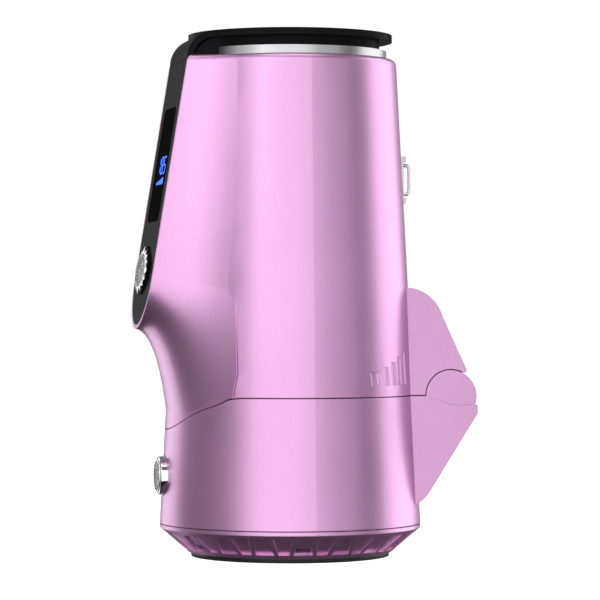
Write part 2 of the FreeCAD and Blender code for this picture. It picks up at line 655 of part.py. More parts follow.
def build_filter():
    foot = dim.shelf_level + dim.shelf_wall
    rim = revolve("filter_rim", [
        (dim.filter_in_r, foot), (dim.filter_r, foot), (dim.filter_r, foot + dim.filter_height),
        (dim.filter_in_r, foot + dim.filter_height)])
    tab = box("filter_tab", (dim.filter_r - 0.5, dim.filter_r + 4.2), (-3, 3), (foot, foot + 2))
    spokes = box("filter_spoke", (3.5, dim.filter_in_r + 0.5), (-0.8, 0.8), (foot + 1, foot + 3))
    hub = cylinder("filter_hub", 4.0, 2.0, 0, 0, foot + 1)
    handle = slab("filter_pull", 1.0, (-6, 6), (foot + 3.5, foot + dim.filter_height + 2))
    mesh_level = foot + 3
    stem = cylinder("filter_pull_stem", 2.5, 3.0, 0, 0, mesh_level - 1)
    frame = fuse("filter_frame", rim, copies("filter_tabs", tab, 4, 90, 45), hub, handle, stem,
                 copies("filter_spokes", spokes, 8, 45))
    node(frame, "filter_frame")
    mesh = cut("filter_mesh",
               cylinder("mesh_disc", dim.filter_in_r, dim.mesh_wall, 0, 0, mesh_level),
               cylinder("mesh_eye", 2.5, 4, 0, 0, mesh_level - 2),
               slab("mesh_slit", 1.0, (-6, 6), (mesh_level - 1, mesh_level + 2)))
    node(mesh, "filter_mesh")


def build_power():
    face = -casing_r(dim.inlet_level) + 0.8
    block = box("inlet_block", (face, face + dim.inlet_deep),
                (dim.play - dim.inlet_half, dim.inlet_half - dim.play),
                (dim.inlet_level + dim.play - dim.inlet_high / 2,
                 dim.inlet_level - dim.play + dim.inlet_high / 2))
    sockets, prongs = [], []
    for side, y in (("left", dim.socket_pitch / 2), ("right", -dim.socket_pitch / 2)):
        sockets.append(cylinder(f"socket_{side}", dim.socket_r, dim.socket_deep + 1, face - 1, y,
                                dim.inlet_level, ALONG_X))
        prongs.append(cylinder(f"prong_{side}", dim.prong_r, dim.inlet_deep + 2, face + 2, y,
                               dim.inlet_level, ALONG_X))
    web = box("socket_web", (face - 1, face + dim.socket_deep),
              (-dim.socket_pitch / 2, dim.socket_pitch / 2),
              (dim.inlet_level - dim.socket_web / 2, dim.inlet_level + dim.socket_web / 2))
    node(cut("power_inlet", block, *sockets, web, *prongs), "power_inlet")
    node(fuse("inlet_pins", *[cylinder(f"pin_{side}", dim.prong_r, dim.inlet_deep + 2, face + 2, y,
                                       dim.inlet_level, ALONG_X)
                              for side, y in (("left", dim.socket_pitch / 2),
                                              ("right", -dim.socket_pitch / 2))]), "inlet_pins")
    top = dim.board_level + dim.board_wall
    node(slab("power_board", 20, (-11, 19), (dim.board_level, top)), "power_board")
    relay = box("relay", (3, 18), (4, 16), (top, top + 11))
    choke = cylinder("choke", 6.5, 9, -10, 10, top)
    reservoir = cylinder("reservoir", 5, 13, -9, -4, top)
    terminal = box("terminal", (2, 17), (-9, -3), (top, top + 8))
    node(fuse("power_board_parts", relay, choke, reservoir, terminal), "power_board_parts")
    shelf = dim.shelf_level + dim.shelf_wall
    rise = dim.seam_level + dim.lip_rise
    post = slab("contact_post", 5, (33, 36.6), (shelf, rise - 1))
    blades = [box(f"blade_{index}", (x - 1, x + 1), (34.2, 35.2), (rise - 1, rise + 0.2))
              for index, x in enumerate((-3, 0, 3))]
    node(fuse("base_contacts", post, *blades), "base_contacts")
    box_room = slab("barrel_contact_box", 5, (30, 36.6), (rise + 0.6, dim.flange_level))
    node(cut("barrel_contacts", box_room,
             cylinder("contact_seat", dim.duct_r, BIG)), "barrel_contacts")


def build_latch():
    face = -casing_r(dim.latch_level) - dim.latch_proud
    arm_face = -dim.arm_y
    button = cylinder("latch_cap", dim.latch_r, arm_face - face, 0, face, dim.latch_level, ALONG_Y)
    node(rounded("latch_button", button, 0.7,
                 lambda span: span.YMax < float(face) + 0.01), "latch_button")
    arm = slab("latch_arm", dim.arm_half, (arm_face, arm_face + dim.arm_wall),
               (dim.latch_level - 5, dim.arm_top))
    nose = slab("latch_nose", dim.arm_half, (arm_face - dim.nose_reach, arm_face + 0.5),
                (dim.arm_top - dim.nose_height, dim.arm_top))
    node(fuse("latch_slide", arm, nose), "latch_slide")
    catch_top = dim.arm_top - dim.nose_height - dim.line_gap
    block = slab("catch_block", dim.catch_half, (-BIG, arm_face - dim.nose_reach - dim.catch_play),
                 (catch_top - dim.catch_height, catch_top))
    node(common("latch_catch", block, taper("catch_seat", dim.shelf_level, dim.seam_level,
                                            dim.wall)), "latch_catch")
    plate = slab("guide_plate", 7, (-dim.guide_y, -dim.guide_y + 2),
                 (dim.latch_level - 6, dim.shelf_level))
    foot = slab("guide_foot", 7, (-dim.shelf_in_r - 2, -dim.guide_y + 2),
                (dim.shelf_level - 2, dim.shelf_level))
    peg = cylinder("guide_peg", 1.5, 3.0, 0, -dim.guide_y - 3, dim.latch_level, ALONG_Y)
    node(fuse("latch_guide", plate, foot, peg), "latch_guide")
    helix = doc.addObject("Part::Helix", "spring_line")
    travel = dim.arm_y - dim.arm_wall - dim.guide_y
    bind(helix, "Height", travel - dim.spring_wire_r * 2 - 0.2)
    bind(helix, "Pitch", (travel - dim.spring_wire_r * 2 - 0.2) / 5)
    bind(helix, "Radius", dim.spring_r)
    section = doc.addObject("Part::Circle", "spring_section")
    bind(section, "Radius", dim.spring_wire_r)
    put(section, dim.spring_r, 0, 0, AGAINST_Y)
    coil = doc.addObject("Part::Sweep", "latch_spring")
    coil.Sections, coil.Spine = [section], (helix, [])
    coil.Solid, coil.Frenet = True, True
    put(coil, 0, -dim.arm_y + dim.arm_wall + dim.spring_wire_r + 0.1, dim.latch_level, ALONG_Y)
    node(coil, "latch_spring")


def build_top():
    top, level = dim.cap_level + dim.cap_wall, dim.cap_level
    disc = cylinder("cap_disc", dim.cap_r, dim.cap_wall, 0, 0, level)
    neck = cylinder("cap_neck", dim.neck_r, level - dim.neck_foot, 0, 0, dim.neck_foot)
    front, turn = dim.cap_front, dim.shoulder_round
    foot = top - turn
    band = pad("cap_band", "YZ_Plane", [
        (front + turn, top), (front, foot, turn), (front + dim.band_wall, foot),
        (front + turn, level, dim.band_wall - turn), (-20, level), (-20, top)],
        dim.strip_half * 2)
    cheek = pad("cap_cheek", "YZ_Plane", [
        (front + dim.band_wall + 0.3, dim.body_top), (front + turn + 0.5, level, 0.4 - turn),
        (-20, level), (-20, dim.body_top)], (dim.strip_half - dim.cheek_inset) * 2)
    mouth = cylinder("cap_mouth", dim.mouth_r, BIG / 2, 0, 0, dim.neck_foot - 5)
    screws = copies("cap_pilots", cylinder("cap_pilot", 1.2, 5.0, (dim.neck_r + dim.mouth_r) / 2, 0,
                                           dim.neck_foot - 0.01), 3, 120, 60)
    node(cut("top_cap", fuse("cap_whole", disc, neck, band, cheek), mouth, screws), "top_cap")
    ring = cut("ring_band", cylinder("trim_out", dim.ring_r, dim.ring_height, 0, 0, dim.body_top),
               cylinder("trim_in", dim.neck_r, dim.ring_height * 3, 0, 0, dim.body_top - 2),
               slab("trim_break", dim.strip_half - dim.cheek_inset + dim.play, (-BIG, -15),
                    (dim.body_top - 2, top)))
    node(ring, "trim_ring")
    grille = guard("outlet_guard", dim.neck_r - 0.8, as_size(4.0),
                   dim.neck_foot - dim.guard_height, dim.guard_height,
                   (dim.mouth_r - 5.5, dim.mouth_r - 11, dim.mouth_r - 16.0), 8,
                   dim.neck_r - 0.8 - dim.mouth_r + dim.grille_lip)
    holes = copies("grille_pilots", cylinder("grille_pilot", 1.2, 12.0,
                                             (dim.neck_r + dim.mouth_r) / 2, 0,
                                             dim.neck_foot - 6), 3, 120, 60)
    node(cut("outlet_grille", grille, holes), "outlet_grille")
    shank = cylinder("cap_screw_shank", 1.2, 4.5 + dim.guard_height,
                     (dim.neck_r + dim.mouth_r) / 2, 0, dim.neck_foot - dim.guard_height)
    head = cylinder("cap_screw_head", 2.2, 1.4, (dim.neck_r + dim.mouth_r) / 2, 0,
                    dim.neck_foot - dim.guard_height - 1.4)
    node(copies("barrel_screws", fuse("cap_screw", shank, head), 3, 120, 60), "barrel_screws")


def strip_block(name, half, depth_span, up_span):
    """A block in the strip's own frame: half width, span into the strip and span up it."""
    block = slab(f"{name}_block", half, depth_span, up_span)
    room = slab(f"{name}_room", BIG, (-BIG, BIG), (-BIG, BIG))
    return on_strip(common(name, block, room))


def strip_plate(name, steps, depth, wall):
    """A plate on the strip from an outline of (across, up) steps."""
    drawn = pad(f"{name}_outline_pad", "XZ_Plane", steps, BIG)
    return on_strip(common(name, drawn, slab(f"{name}_depth", BIG / 2, (depth, depth + wall),
                                             (-BIG, BIG))))


def window_steps(margin):
    half, foot = dim.window_half + margin, dim.window_foot - margin
    top, turn = dim.window_foot + dim.window_length + margin, dim.window_round + margin
    return [(-half + turn, foot, turn), (half - turn, foot), (half, foot + turn, turn),
            (half, top - turn), (half - turn, top, turn), (-half + turn, top),
            (-half, top - turn, turn), (-half, foot + turn)]


def build_strip():
    plug = strip_plug("panel_plug", 0.0, 0.0, dim.panel_wall, dim.strip_length)
    opening = strip_plate("window_opening", window_steps(dim.play), -5, 20)
    bore_y = -dim.tip_y + dim.knob_level * function("sin", dim.strip_lean)
    bore_z = dim.tip_level + dim.knob_level * function("cos", dim.strip_lean)

    def along(item):
        """Turns an object from +Z to out of the strip, at the knob."""
        put(item, 0, bore_y, bore_z, FreeCAD.Rotation(X_AXIS, 90 - float(dim.strip_lean)))
        bind(item, "Placement.Rotation.Angle", 90 - dim.strip_lean)
        return item

    bore = fuse("knob_bore", cylinder("knob_bore_out", dim.knob_r + dim.line_gap / 2, 12),
                cylinder("knob_bore_in", dim.knob_r + dim.line_gap / 2, 12, 0, 0, -10))
    node(cut("front_panel", plug, opening, along(bore)), "front_panel")
    node(strip_plate("display_window", window_steps(as_size(0.0)), 0.2, dim.panel_wall - 0.2),
         "display_window")
    node(strip_block("display_module", dim.bay_half - 1.0, (dim.panel_wall, dim.board_depth),
                     (dim.window_foot - 1, dim.window_foot + dim.window_length + 1)),
         "display_module")
    node(strip_block("control_board", dim.bay_half - 0.6,
                     (dim.board_depth, dim.board_depth + dim.board_wall),
                     (dim.bay_foot + 1, dim.bay_foot + 66)), "control_board")
    stem = dim.panel_wall + 3.5
    switch_top = stem + dim.knob_travel + 0.2
    node(strip_block("button_switch", 3, (switch_top, dim.board_depth),
                     (dim.knob_level - 3, dim.knob_level + 3)), "button_switch")
    dome_r, rise = dim.knob_r - 0.8, dim.knob_proud - 1.2
    knob = revolve("mode_button", [
        (0, -stem), (dim.stem_r, -stem), (dim.stem_r, -3.5), (dim.knob_r, -3.5),
        (dim.knob_r, 0.7), (dome_r, 1.2), (0, dim.knob_proud, (dome_r * dome_r + rise * rise)
                                           / (2 * rise))])
    node(along(knob), "mode_button")


def build_loop():
    y, low, wire = dim.loop_y, dim.loop_level, dim.loop_wire_r
    corner, far = dim.loop_corner, dim.loop_y + dim.loop_reach
    arm_low, arm_high = low + 2.6, low + dim.loop_height - 2.6
    rod = cylinder("loop_rod", wire, dim.loop_height, 0, y, low)
    pieces = [rod, cylinder("loop_bow", wire, arm_high - arm_low - corner * 2, 0, far,
                            arm_low + corner)]
    for label, level, turn in (("low", arm_low, ALONG_X),
                               ("high", arm_high, FreeCAD.Rotation(X_AXIS, 90) * ALONG_X)):
        centre = level + corner if label == "low" else level - corner
        pieces.append(torus(f"loop_corner_{label}", corner, wire, 0, far - corner, centre, turn, 90))
        pieces.append(cylinder(f"loop_arm_{label}", wire, far - corner - y, 0, y, level, ALONG_Y))
    node(fuse("strap_loop", *pieces), "strap_loop")
    lugs = []
    for label, level in (("low", low - 0.4), ("high", low + dim.loop_height + 0.4 - dim.lug_height)):
        lugs.append(slab(f"lug_{label}", dim.lug_half, (y - 3, y + 1.1),
                         (level, level + dim.lug_height)))
    bore = cylinder("lug_bore", wire + dim.shaft_play, dim.loop_height + 0.1, 0, y, low - 0.05)
    node(cut("loop_lugs", fuse("lug_pair", *lugs), bore,
             taper("lug_seat", low - 5, low + dim.loop_height + 5, as_size(0))), "loop_lugs")


def build_air_path():
    foot, top, out, inner = dim.duct_foot, dim.duct_top, dim.duct_r, dim.duct_r - dim.duct_wall
    flange_r = casing_r(dim.flange_level + dim.flange_wall) - dim.wall - dim.play
    node(revolve("fan_duct", [
        (inner, foot), (out, foot), (out, dim.flange_level), (flange_r, dim.flange_level),
        (flange_r, dim.flange_level + dim.flange_wall), (out, dim.flange_level + dim.flange_wall),
        (out, top), (inner, top)]), "fan_duct")
    gasket = cut("duct_gasket", cylinder("gasket_out", out, 1.2, 0, 0, foot - 1.2),
                 cylinder("gasket_in", inner, 4, 0, 0, foot - 2))
    node(gasket, "duct_gasket")
    node(guard("inlet_guard", inner, as_size(6.0), foot, as_size(1.8),
               (inner - 6.5, inner - 13.5), 6, as_size(2.0)), "inlet_guard")
    tip = inner - dim.blade_tip_gap
    blade = box("blade", (dim.hub_r - 0.6, BIG / 4), (-dim.blade_wall / 2, dim.blade_wall / 2),
                (-12, 12))
    blade.Placement = FreeCAD.Placement(
        FreeCAD.Vector(float(dim.hub_r) - 0.6, 0, float(dim.fan_foot + dim.hub_height / 2)),
        FreeCAD.Rotation(X_AXIS, 48))
    bind(blade, "Placement.Base.z", dim.fan_foot + dim.hub_height / 2)
    blades = common("blades", copies("blade_set", blade, 9, 40),
                    cylinder("blade_sweep", tip, dim.hub_height, 0, 0, dim.fan_foot))
    hub = cylinder("hub", dim.hub_r, dim.hub_height, 0, 0, dim.fan_foot)
    node(cut("impeller", fuse("impeller_whole", hub, blades),
             cylinder("hub_bore", dim.shaft_r, BIG)), "impeller")
    shaft_foot = dim.fan_foot - 1.0
    node(cylinder("motor_shaft", dim.shaft_r, dim.motor_foot + 3 - shaft_foot, 0, 0, shaft_foot),
         "motor_shaft")
    can = cylinder("can", dim.motor_r, dim.motor_height, 0, 0, dim.motor_foot)
    node(cut("motor_can", can, cylinder("can_bore", dim.shaft_r + dim.shaft_play, 8, 0, 0,
                                        dim.motor_foot - 4)), "motor_can")
    mount_level, mount_high = dim.motor_foot + 2, as_size(9.0)
    vane = box("vane", (dim.motor_r + 0.5, inner - 0.5), (-0.6, 0.6),
               (mount_level, mount_level + mount_high))
    outer = cut("mount_out", cylinder("mount_out_a", inner, mount_high, 0, 0, mount_level),
                cylinder("mount_out_b", inner - 1, mount_high + 2, 0, 0, mount_level - 1))
    middle = cut("mount_in", cylinder("mount_in_a", dim.motor_r + 1.4, mount_high, 0, 0, mount_level),
                 cylinder("mount_in_b", dim.motor_r, mount_high + 2, 0, 0, mount_level - 1))
    node(fuse("motor_mount", outer, middle, copies("vanes", vane, 7, 360 / 7)), "motor_mount")
    sleeve_r = out - 0.5
    core_r = sleeve_r - dim.sleeve_wall
    node(cut("heater_sleeve", cylinder("sleeve_out", sleeve_r, dim.sleeve_top - top, 0, 0, top),
             cylinder("sleeve_in", core_r, BIG)), "heater_sleeve")
    plates = [box("core_plate_a", (-BIG / 4, BIG / 4), (-dim.core_wall / 2, dim.core_wall / 2),
                  (top + 2, dim.core_top)),
              box("core_plate_b", (-dim.core_wall / 2, dim.core_wall / 2), (-BIG / 4, BIG / 4),
                  (top + 2, dim.core_top))]
    cross = common("core_cross", fuse("core_plates", *plates),
                   cylinder("core_room", core_r, BIG))
    rings, rooms = [], []
    for index in range(6):
        for band, radius in (("inner", 13.0), ("outer", 22.0)):
            level = top + 6 + dim.coil_pitch * index
            rings.append(torus(f"coil_{band}_{index}", radius, dim.coil_wire_r, 0, 0, level))
            rooms.append(torus(f"coil_room_{band}_{index}", radius, dim.coil_wire_r + dim.play,
                               0, 0, level))
    node(cut("heater_core", cross, *rooms), "heater_core")
    node(fuse("heater_coils", *rings), "heater_coils")
    node(cylinder("thermostat", 4.0, 3.0, 9, 0, dim.core_top), "thermostat")
    block = slab("emitter_block", 4, (core_r - 4.5, sleeve_r - 0.2),
                 (dim.sleeve_top, dim.sleeve_top + 5))
    needle = cylinder("emitter_needle", 0.5, 2.5, 0, core_r - 2.5, dim.sleeve_top + 4)
    node(fuse("ion_emitter", block, needle), "ion_emitter")


build_lower_housing()
build_upper_housing()
build_intake_ring()
build_base_plate()
node(screw_tools("base_screws"), "base_screws")
build_filter()
build_power()
build_latch()
node(hinge_bar("hinge_pin", dim.pin_r, dim.fin_mid_half - 1.0), "hinge_pin")
build_top()
build_strip()
build_loop()
build_air_path()

# --- Write ---------------------------------------------------------------------------------------

doc.recompute()
faults = [item.Name for item in doc.Objects if {"Invalid", "Error"} & set(item.State)]
for piece in NODES:
    if piece.Shape.isNull() or not piece.Shape.isValid():
        faults.append(piece.Label)
if faults:
    raise SystemExit(f"failed objects: {faults}")
for piece in NODES:
    piece.Shape.exportStep(f"parts/{piece.Label}.step")
print(len(NODES), "nodes written")
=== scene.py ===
import math

import bpy
from mathutils import Matrix, Vector


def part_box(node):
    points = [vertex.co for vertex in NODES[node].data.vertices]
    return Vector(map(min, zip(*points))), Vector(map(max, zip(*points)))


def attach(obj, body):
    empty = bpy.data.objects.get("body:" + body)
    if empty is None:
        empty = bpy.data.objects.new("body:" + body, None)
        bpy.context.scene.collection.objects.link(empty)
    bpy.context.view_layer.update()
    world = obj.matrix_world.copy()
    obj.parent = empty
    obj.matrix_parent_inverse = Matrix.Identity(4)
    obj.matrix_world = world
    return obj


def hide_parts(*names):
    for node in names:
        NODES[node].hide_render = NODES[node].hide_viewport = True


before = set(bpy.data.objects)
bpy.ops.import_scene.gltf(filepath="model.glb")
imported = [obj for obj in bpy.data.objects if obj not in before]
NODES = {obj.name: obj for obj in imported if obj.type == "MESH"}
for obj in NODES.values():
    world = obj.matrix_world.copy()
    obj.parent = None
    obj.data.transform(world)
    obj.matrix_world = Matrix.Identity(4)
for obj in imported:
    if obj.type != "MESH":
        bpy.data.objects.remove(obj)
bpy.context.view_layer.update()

# A compact upright hair dryer in satin pink: finishes for its CAD pieces, the jewelled knob and
# release button, the lit display, the woven filter, and a plain studio round it. Metres.

MM = 0.001
bpy.ops.object.select_all(action="DESELECT")

PANEL_LOW, PANEL_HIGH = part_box("front_panel")
WINDOW_LOW, WINDOW_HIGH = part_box("display_window")
KNOB_LOW, KNOB_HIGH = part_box("mode_button")
LATCH_LOW, LATCH_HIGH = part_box("latch_button")
FILTER_LOW, FILTER_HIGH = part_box("filter_mesh")


# --- Finishes ------------------------------------------------------------------------------------


class Wire:
    """An output socket, with Python's operators as Math nodes."""

    def __init__(self, nodes, socket):
        self.nodes, self.socket = nodes, socket

    def __add__(self, other):
        return self.nodes.maths("ADD", self, other)

    def __radd__(self, other):
        return self.nodes.maths("ADD", other, self)

    def __mul__(self, other):
        return self.nodes.maths("MULTIPLY", self, other)

    def __rmul__(self, other):
        return self.nodes.maths("MULTIPLY", other, self)


class Nodes:
    """A tree of shader nodes, and the ways to add to it."""

    def __init__(self, tree):
        self.tree = tree

    def node(self, kind, settings=None, **sockets):
        """Adds one node: its settings first, then the values or links of its sockets. A socket
        goes by its name, or by its number as in _0."""
        made = self.tree.nodes.new(kind)
        for name, value in (settings or {}).items():
            setattr(made, name, value)
        for name, value in sockets.items():
            key = int(name[1:]) if name[1:].isdigit() else name.replace("_", " ")
            self.feed(made.inputs[key], value)
        return made

    def feed(self, socket, value):
        """Links a socket to a value's output, or sets it to a plain value."""
        if isinstance(value, Wire):
            value = value.socket
        if isinstance(value, bpy.types.NodeSocket):
            self.tree.links.new(value, socket)
        else:
            socket.default_value = value

    def maths(self, operation, first, second):
        made = self.node("ShaderNodeMath", {"operation": operation}, _0=first, _1=second)
        return Wire(self, made.outputs[0])


class Finish(Nodes):
    """A material under construction: a Principled shader and the nodes that feed it."""

    def __init__(self, name, **constants):
        self.material = bpy.data.materials.new(name)
        self.material.use_nodes = True
        super().__init__(self.material.node_tree)
        self.shader = next(n for n in self.tree.nodes if n.type == "BSDF_PRINCIPLED")
        for socket, value in constants.items():
            self.shader.inputs[socket.replace("_", " ")].default_value = value
        self.place = self.node("ShaderNodeTexCoord").outputs["Object"]

    def noise(self, scale, detail=2.0, roughness=0.5, stretch=(1.0, 1.0, 1.0)):
        """Noise with features about 1 / scale metres across."""
        place = self.node("ShaderNodeMapping", None, Vector=self.place, Scale=stretch).outputs[0]
        made = self.node("ShaderNodeTexNoise", None, Vector=place, Scale=scale, Detail=detail,
                         Roughness=roughness)
        return Wire(self, made.outputs[0])

    def blend(self, factor, low, high):
        """Mixes two colours by a factor. Sockets 6 and 7 are the Mix node's colours."""
        made = self.node("ShaderNodeMix", {"data_type": "RGBA"}, _0=factor, _6=(*low, 1.0),
                         _7=(*high, 1.0))
        return made.outputs[2]

    def colour(self, factor, low, high):
        """Base colour between two, by a factor."""
        self.feed(self.shader.inputs["Base Color"], self.blend(factor, low, high))

    def rough(self, factor, low, high):
        """Roughness between two values, by a factor."""
        self.feed(self.shader.inputs["Roughness"], low + (high - low) * factor)

    def relief(self, height, depth, edge=0.0):
        """Bump from a height, over edges rounded by a small radius."""
        bump = self.node("ShaderNodeBump", None, Height=height, Distance=depth, Strength=1.0)
        if edge:
            soft = self.node("ShaderNodeBevel", {"samples": 4}, Radius=edge)
            self.tree.links.new(soft.outputs[0], bump.inputs["Normal"])
        self.tree.links.new(bump.outputs[0], self.shader.inputs["Normal"])


def satin_pink():
    """Metallic lacquer: pink with a fine flake."""
    paint = Finish("satin_pink", Metallic=0.85, Coat_Weight=0.45, Coat_Roughness=0.25)
    flake = paint.noise(2600.0, 1.0)
    drift = paint.noise(28.0, 3.0)
    paint.colour(flake * 0.55 + drift * 0.45, (0.66, 0.335, 0.60), (0.97, 0.53, 0.90))
    paint.rough(flake * 0.6 + drift * 0.4, 0.30, 0.44)
    paint.relief(flake, 0.000010, 0.00035)
    return paint.material


def gloss_black():
    """Polished black moulding, faintly marked by handling. Its low index keeps it dark when it is
    seen at a slant."""
    paint = Finish("gloss_black", IOR=1.06)
    haze = paint.noise(60.0, 4.0, 0.6)
    paint.colour(haze, (0.009, 0.009, 0.010), (0.017, 0.017, 0.018))
    paint.rough(haze, 0.20, 0.32)
    paint.relief(paint.noise(380.0, 2.0), 0.000004, 0.0003)
    return paint.material


def display_black():
    """The window over the display: darker and smoother than the strip."""
    paint = Finish("display_black", IOR=1.012)
    haze = paint.noise(45.0, 3.0)
    paint.colour(haze, (0.0004, 0.0004, 0.0006), (0.0012, 0.0012, 0.0016))
    paint.rough(haze, 0.08, 0.16)
    return paint.material


def moulded(name, low, high, rough_low, rough_high, grain=900.0, depth=0.00002):
    """A moulded plastic or rubber with a fine spark-eroded grain."""
    paint = Finish(name)
    fine = paint.noise(grain, 3.0)
    broad = paint.noise(35.0, 3.0)
    paint.colour(broad * 0.6 + fine * 0.4, low, high)
    paint.rough(fine, rough_low, rough_high)
    paint.relief(fine, depth, 0.00025)
    return paint.material


def metal(name, low, high, rough_low, rough_high, stretch=(1.0, 1.0, 1.0), grain=500.0):
    """A metal with fine marks, drawn out along the way it was worked."""
    paint = Finish(name, Metallic=1.0)
    marks = paint.noise(grain, 4.0, 0.6, stretch)
    broad = paint.noise(50.0, 2.0)
    paint.colour(broad * 0.5 + marks * 0.5, low, high)
    paint.rough(marks, rough_low, rough_high)
    paint.relief(marks, 0.000003, 0.00015)
    return paint.material


def cut_stone():
    """Clear stones, polished, with painted glints: bright and dark patches a little smaller than a
    stone.
    """
    paint = Finish("cut_stone", Metallic=0.55, Coat_Weight=1.0, Coat_Roughness=0.03, IOR=1.9)
    cells = paint.node("ShaderNodeTexVoronoi", {"feature": "F1"}, Vector=paint.place,
                       Scale=1400.0).outputs["Distance"]
    # Painted glints: the base colour is bright in the middle of each patch and dark at its edge,
    # standing in for light off the facets
    painted_glint = Wire(paint, cells) * 1.6
    paint.colour(painted_glint, (0.96, 0.96, 0.97), (0.34, 0.35, 0.38))
    paint.rough(painted_glint, 0.04, 0.16)
    return paint.material


def lit_blue():
    """Display light, a little uneven like real segments."""
    paint = Finish("lit_blue", Base_Color=(0.01, 0.05, 0.5, 1.0), Emission_Strength=2.6)
    spread = paint.noise(900.0, 2.0)
    paint.feed(paint.shader.inputs["Emission Color"],
               paint.blend(spread, (0.004, 0.055, 0.75), (0.02, 0.16, 1.0)))
    paint.rough(spread, 0.3, 0.4)
    return paint.material


def woven_steel():
    """Fine steel wire."""
    return metal("woven_steel", (0.42, 0.42, 0.44), (0.66, 0.66, 0.68), 0.22, 0.38, grain=2500.0)


def resistance_wire():
    """Heater wire, blued in patches by heat."""
    paint = Finish("resistance_wire", Metallic=1.0)
    heat = paint.noise(140.0, 3.0)
    paint.colour(heat, (0.42, 0.30, 0.22), (0.50, 0.50, 0.56))
    paint.rough(heat, 0.28, 0.45)
    return paint.material


FINISHES = {
    "pink": satin_pink(),
    "black": gloss_black(),
    "window": display_black(),
    "satin_black": moulded("satin_black", (0.010, 0.010, 0.011), (0.030, 0.030, 0.032), 0.38, 0.55),
    "rubber": moulded("foot_rubber", (0.008, 0.008, 0.008), (0.020, 0.020, 0.020), 0.65, 0.85,
                      600.0, 0.00004),
    "grey": moulded("grey_moulding", (0.16, 0.16, 0.17), (0.24, 0.24, 0.255), 0.42, 0.6),
    "cream": moulded("cream_moulding", (0.62, 0.57, 0.46), (0.76, 0.72, 0.62), 0.45, 0.65),
    "mica": moulded("mica_sheet", (0.42, 0.33, 0.19), (0.66, 0.56, 0.38), 0.35, 0.6, 300.0,
                    0.00006),
    "board": moulded("board_mask", (0.008, 0.10, 0.035), (0.02, 0.19, 0.07), 0.25, 0.4),
    "parts": moulded("board_parts", (0.02, 0.02, 0.024), (0.07, 0.07, 0.08), 0.35, 0.5),
    "chrome": metal("polished_chrome", (0.80, 0.80, 0.82), (0.92, 0.92, 0.93), 0.04, 0.10),
    "ring": metal("satin_silver", (0.50, 0.50, 0.51), (0.68, 0.68, 0.69), 0.26, 0.36,
                  (1.0, 1.0, 14.0)),
    "steel": metal("turned_steel", (0.40, 0.40, 0.41), (0.60, 0.60, 0.61), 0.2, 0.34,
                   (1.0, 1.0, 8.0)),
    "copper": metal("plated_copper", (0.62, 0.36, 0.16), (0.80, 0.52, 0.26), 0.2, 0.34),
    "setting": metal("stone_setting", (0.10, 0.10, 0.105), (0.20, 0.20, 0.21), 0.2, 0.35),
    "stone": cut_stone(),
    "polished": metal("polished_rim", (0.90, 0.90, 0.91), (0.98, 0.98, 0.98), 0.22, 0.34),
    "light": lit_blue(),
    "mesh": woven_steel(),
    "wire": resistance_wire(),
}

FINISH_OF = {
    "pink": ["lower_housing", "upper_housing", "intake_ring"],
    "black": ["top_cap", "front_panel", "mode_button"],
    "window": ["display_window"],
    "satin_black": ["base_plate", "filter_shelf", "power_inlet", "button_switch",
                    "outlet_grille", "inlet_guard"],
    "rubber": ["foot_ring", "duct_gasket"],
    "grey": ["filter_frame", "latch_guide", "latch_slide", "latch_catch", "display_module",
             "impeller", "ion_emitter"],
    "cream": ["fan_duct", "motor_mount"],
    "mica": ["heater_sleeve", "heater_core"],
    "board": ["power_board", "control_board"],
    "parts": ["power_board_parts"],
    "chrome": ["latch_button", "strap_loop", "loop_lugs"],
    "ring": ["trim_ring"],
    "steel": ["base_screws", "hinge_pin", "latch_spring", "barrel_screws", "motor_shaft",
              "motor_can"],
    "copper": ["inlet_pins", "base_contacts", "barrel_contacts", "thermostat"],
    "wire": ["heater_coils"],
    "mesh": ["filter_mesh"],
}


def dress(piece, finish):
    """Gives a piece one finish all over."""
    piece.data.materials.clear()
    piece.data.materials.append(FINISHES[finish])


for finish, names in FINISH_OF.items():
    for name in names:
        dress(NODES[name], finish)


# --- Modelling help ------------------------------------------------------------------------------


def alone(piece):
    """Makes a piece the only one selected, and active."""
    bpy.ops.object.select_all(action="DESELECT")
    piece.select_set(True)
    bpy.context.view_layer.objects.active = piece


def newest(name):
    """Names the piece that an operator has just added or joined."""
    piece = bpy.context.object
    piece.name = piece.data.name = name
    return piece


def joined(pieces, name):
    """Joins pieces into one."""
    alone(pieces[0])
    for piece in pieces:
        piece.select_set(True)
    bpy.ops.object.join()
    return newest(name)


def bevelled(piece, width):
    """Rounds every edge of a piece."""
    alone(piece)
    bevel = piece.modifiers.new("rounding", "BEVEL")
    bevel.width, bevel.segments, bevel.limit_method = width, 2, "ANGLE"
    bpy.ops.object.modifier_apply(modifier=bevel.name)


def copy_to(piece, places, name):
    """One mesh of copies of a piece, each with its own transform. The piece itself goes."""
    copies = []
    for place in places:
        twin = piece.copy()
        twin.data = piece.data.copy()
        bpy.context.scene.collection.objects.link(twin)
        twin.data.transform(place)
        copies.append(twin)
    bpy.data.objects.remove(piece)
    return joined(copies, name)


def finished(piece, body, finish, smooth=35.0):
    """Shades, dresses and hands over a finished piece."""
    alone(piece)
    bpy.ops.object.shade_smooth_by_angle(angle=math.radians(smooth))
    dress(piece, finish)
    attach(piece, body)


# --- Faces on the leaning strip ------------------------------------------------------------------

PANEL_WALL = 1.8 * MM

# The panel leans back by its own depth, less its wall, over its height
STRIP_LEAN = math.atan2(PANEL_HIGH.y - PANEL_LOW.y - PANEL_WALL, PANEL_HIGH.z - PANEL_LOW.z)
STRIP_OUT = Vector((0, -math.cos(STRIP_LEAN), math.sin(STRIP_LEAN)))
STRIP_UP = Vector((0, math.sin(STRIP_LEAN), math.cos(STRIP_LEAN)))
STRIP_TURN = Matrix.Rotation(math.pi / 2 - STRIP_LEAN, 4, "X")


